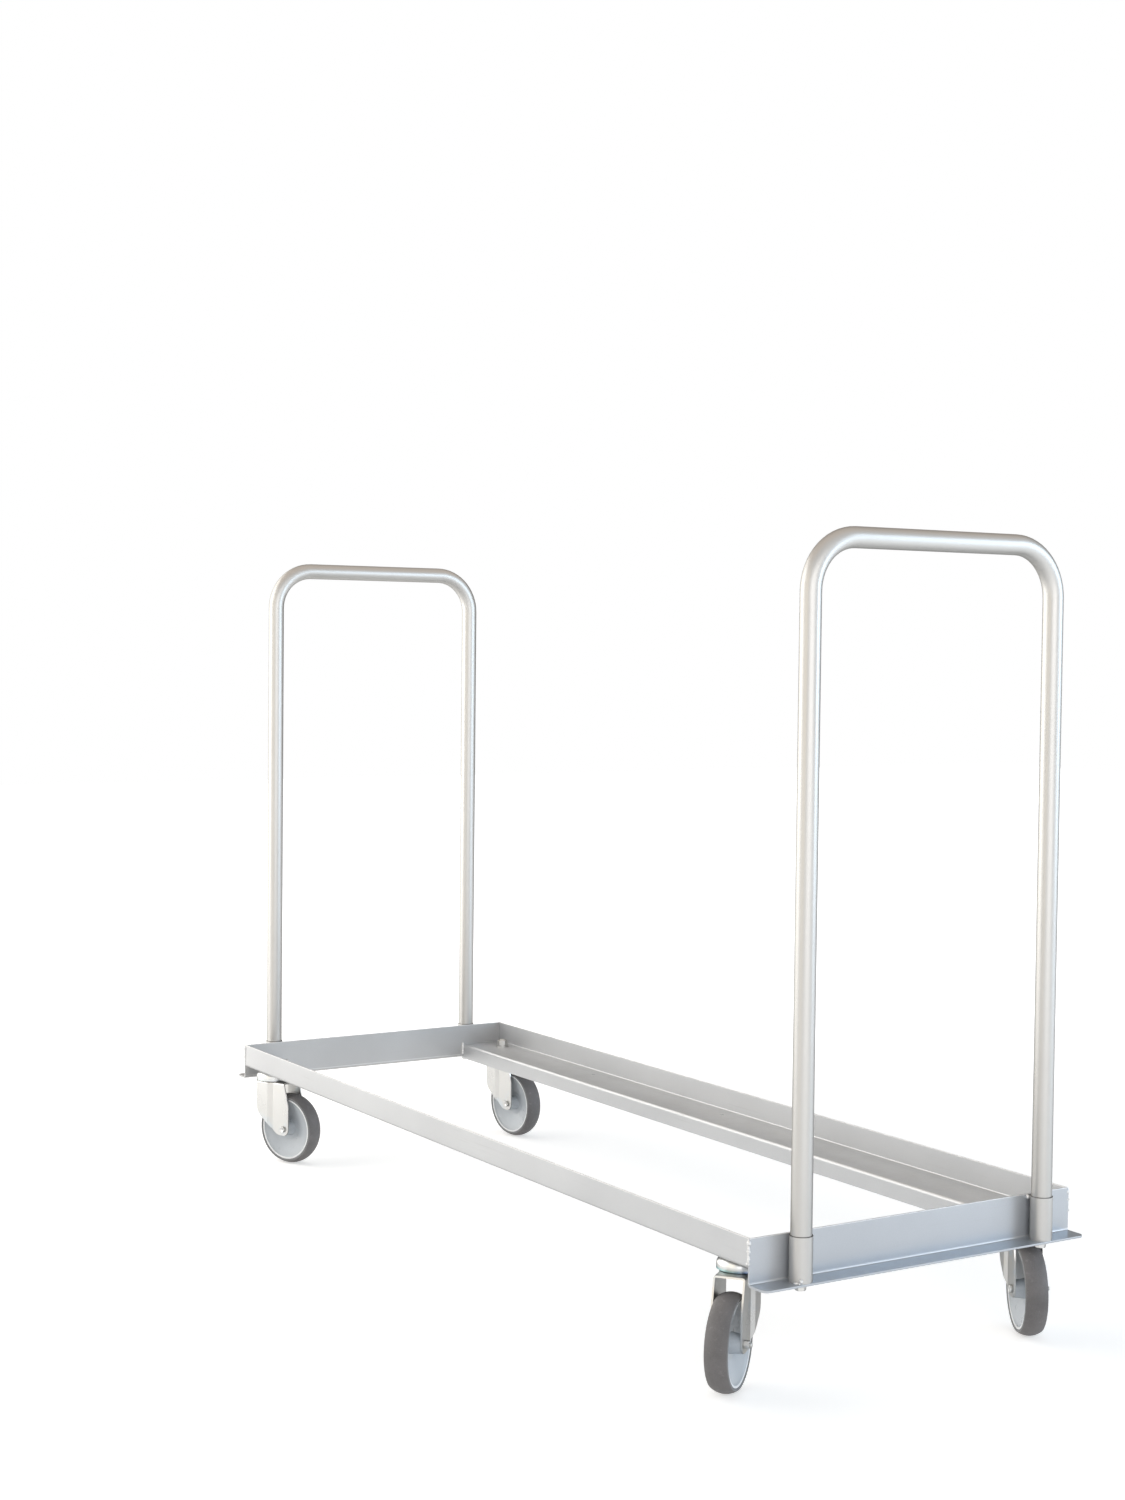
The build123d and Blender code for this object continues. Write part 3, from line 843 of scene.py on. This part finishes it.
def addBolt(mesh, bolt, length, place):
    # along +Z from the head's outer face, put in place by a matrix
    turns = fullTurn(boltShape["around"])
    face = bolt["flats"] / 2 * boltShape["face"]
    slope = math.tan(math.radians(boltShape["cornerSlope"]))
    dishFrom, dishTo = (face * share for share in boltShape["dish"])
    corners = [hexRadius(bolt["flats"], turn) for turn in turns]
    shank = bolt["thread"] / 2
    rings = [
        [(dishFrom, boltShape["dishDepth"]) for _ in turns],
        [(dishTo, 0.0) for _ in turns],
        [(face, 0.0) for _ in turns],
        [(corner, (corner - face) * slope) for corner in corners],
        [(corner, bolt["head"]) for corner in corners],
        [(shank, bolt["head"]) for _ in turns],
    ]
    threadStart = length - bolt["threaded"]
    perPitch = boltShape["stepsPerPitch"]
    steps = round(bolt["threaded"] / bolt["pitch"] * perPitch)
    for step in range(steps + 1):
        level = threadStart + bolt["threaded"] * step / steps
        limit = min(shank, shank - bolt["depth"] * boltShape["tip"] + (length - level))
        deepest = bolt["depth"] * min(1.0, step / perPitch)   # runs out towards the head
        ring = []
        for turn in turns:
            phase = (level / bolt["pitch"] - turn / (2 * math.pi)) % 1.0
            ring.append((min(limit, shank - deepest * abs(2 * phase - 1)), level))
        rings.append(ring)
    made = []
    for ring in rings:
        points = [Vector((r * math.cos(turn), r * math.sin(turn), z)) for (r, z), turn in zip(ring, turns)]
        made.append([mesh.verts.new(place @ point) for point in points])
    skinRings(mesh, made)


def alongAxis(node, centre, axis):
    reach = [(vertex.co - centre).dot(axis) for vertex in nodes[node].data.vertices]
    return min(reach), max(reach)


def makeBolts():
    low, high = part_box("castor_bolts")
    mesh = bmesh.new()
    for place in castorPlaces:
        x, y, _ = joints["swivel_" + place]["pos_m"]
        addBolt(mesh, castorBolt, high.z - low.z, Matrix.Translation((x, y, low.z)))
    bolts = addPiece("castorBoltsThreaded", mesh, zincBolt, "frame")
    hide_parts("castor_bolts")
    for place in castorPlaces:
        joint = joints["roll_" + place]
        centre, axis = Vector(joint["pos_m"]), Vector(joint["axis"]).normalized()
        first, last = alongAxis("axle_bolt_" + place, centre, axis)
        turn = axis.to_track_quat("Z", "Y").to_matrix().to_4x4()
        mesh = bmesh.new()
        addBolt(mesh, axleBolt, last - first, Matrix.Translation(centre + first * axis) @ turn)
        bolt = addPiece("axleBoltThreaded_" + place, mesh, zincBolt, "castor_" + place)
        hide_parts("axle_bolt_" + place)


makeBolts()
print("threaded bolts made")


# Studio floor, backdrop and lights
studio = {
    "floorSize": 24.0,
    "floorDrop": 0.0004,         # clear of the tyres
    "floorColour": (0.870, 0.850, 0.828),
    "floorRoughness": 0.9,
    "floorLift": 0.50,           # glow under the trolley, for the eye and reflections alone
    "whiteFrom": 0.95,           # metres from the middle where the floor starts to wash out
    "whiteTo": 2.5,
    "skyColour": (0.91, 0.955, 1.0),
    "skyStrength": 0.36,
    "aim": (0.0, 0.0, 0.45),
}
windows = {
    # large soft windows: on the near side, behind the camera, and in front on the far side
    "windowSide": {
        "bearing": -143,
        "away": 2.9,
        "height": 1.45,
        "size": (5.2, 3.1),
        "power": 106,
        "tint": (1.0, 0.97, 0.91),
    },
    "windowCamera": {
        "bearing": -18,
        "away": 4.7,
        "height": 1.5,
        "size": (3.6, 2.8),
        "power": 52,
        "tint": (1.0, 0.99, 0.98),
    },
    "windowFront": {
        "bearing": 47,
        "away": 4.2,
        "height": 1.4,
        "size": (2.8, 2.2),
        "power": 60,
        "tint": (0.66, 0.83, 1.0),
    },
}
cards = {
    # cards that glow for reflections alone, painted reflections of the walls and the ceiling of a hall
    "flagNear": {
        "bearing": -72,
        "away": 3.6,
        "height": 1.4,
        "size": (2.4, 2.8),
        "colour": (1.75, 1.62, 1.42),
    },
    "flagFar": {
        "bearing": 136,
        "away": 4.4,
        "height": 1.4,
        "size": (7.6, 2.8),
        "colour": (0.34, 0.31, 0.28),
    },
    "flagAbove": {
        "bearing": 160,
        "away": 0.6,
        "height": 3.4,
        "size": (6.0, 5.0),
        "colour": (1.05, 0.94, 0.84),
    },
}


def seenDirectly(tree):
    # 1 where the eye, a reflection or glass looks, 0 for the light that falls on the trolley
    path = addNode(tree, "LightPath")
    seen = calc(tree, "MAXIMUM", path.outputs["Is Camera Ray"], path.outputs["Is Glossy Ray"])
    return calc(tree, "MAXIMUM", seen, path.outputs["Is Transmission Ray"])


def flatSheet(name, width, depth):
    mesh = bmesh.new()
    bmesh.ops.create_grid(mesh, x_segments=1, y_segments=1, size=0.5)
    bmesh.ops.scale(mesh, vec=(width, depth, 1.0), verts=mesh.verts)
    data = bpy.data.meshes.new(name)
    mesh.to_mesh(data)
    mesh.free()
    return bpy.data.objects.new(name, data)


def layFloor():
    floor = flatSheet("studioFloor", studio["floorSize"], studio["floorSize"])
    floor.location.z = -studio["floorDrop"]
    bpy.context.scene.collection.objects.link(floor)
    material, tree, shader = newMaterial("paleFloor")
    shader.inputs["Base Color"].default_value = (*studio["floorColour"], 1.0)
    shader.inputs["Roughness"].default_value = studio["floorRoughness"]
    shader.inputs["Specular IOR Level"].default_value = 0.0
    shader.inputs["Emission Color"].default_value = (1.0, 1.0, 1.0, 1.0)
    away = vectorCalc(tree, "LENGTH", addNode(tree, "TexCoord").outputs["Object"])
    lift = span(tree, away, studio["whiteFrom"], studio["whiteTo"], studio["floorLift"], 1.0)
    feed(tree, shader.inputs["Emission Strength"], calc(tree, "MULTIPLY", seenDirectly(tree), lift))
    floor.data.materials.append(material)


def faceInwards(thing, place):
    bearing = math.radians(place["bearing"])
    flat = place["away"] * Vector((math.cos(bearing), math.sin(bearing), 0))
    thing.location = flat + Vector((0, 0, place["height"]))
    thing.rotation_euler = (Vector(studio["aim"]) - thing.location).to_track_quat("-Z", "Y").to_euler()
    thing.visible_camera = False
    bpy.context.scene.collection.objects.link(thing)


def hangCards():
    for name, look in cards.items():
        material, _, shader = newMaterial(name)
        shader.inputs["Base Color"].default_value = (0.0, 0.0, 0.0, 1.0)
        shader.inputs["Specular IOR Level"].default_value = 0.0
        shader.inputs["Emission Color"].default_value = (*look["colour"], 1.0)
        shader.inputs["Emission Strength"].default_value = 1.0
        card = flatSheet(name, *look["size"])
        card.data.materials.append(material)
        faceInwards(card, look)
        card.visible_diffuse = False
        card.visible_shadow = False


def lightTheStudio():
    world = bpy.data.worlds.new("studioWorld")
    bpy.context.scene.world = world
    world.use_nodes = True
    tree = world.node_tree
    soft = tree.nodes["Background"]
    soft.inputs["Color"].default_value = (*studio["skyColour"], 1.0)
    soft.inputs["Strength"].default_value = studio["skyStrength"]
    white = addNode(tree, "Background")
    white.inputs["Color"].default_value = (1.0, 1.0, 1.0, 1.0)
    white.inputs["Strength"].default_value = 1.0
    mix = addNode(tree, "MixShader")
    feed(tree, mix.inputs[0], seenDirectly(tree))
    tree.links.new(soft.outputs[0], mix.inputs[1])
    tree.links.new(white.outputs[0], mix.inputs[2])
    tree.links.new(mix.outputs[0], tree.nodes["World Output"].inputs["Surface"])
    for name, window in windows.items():
        data = bpy.data.lights.new(name, "AREA")
        data.shape = "RECTANGLE"
        data.size, data.size_y = window["size"]
        data.energy = window["power"]
        data.color = window["tint"]
        light = bpy.data.objects.new(name, data)
        faceInwards(light, window)
    bpy.context.scene.view_settings.view_transform = "Standard"


layFloor()
hangCards()
lightTheStudio()
print("studio lit")
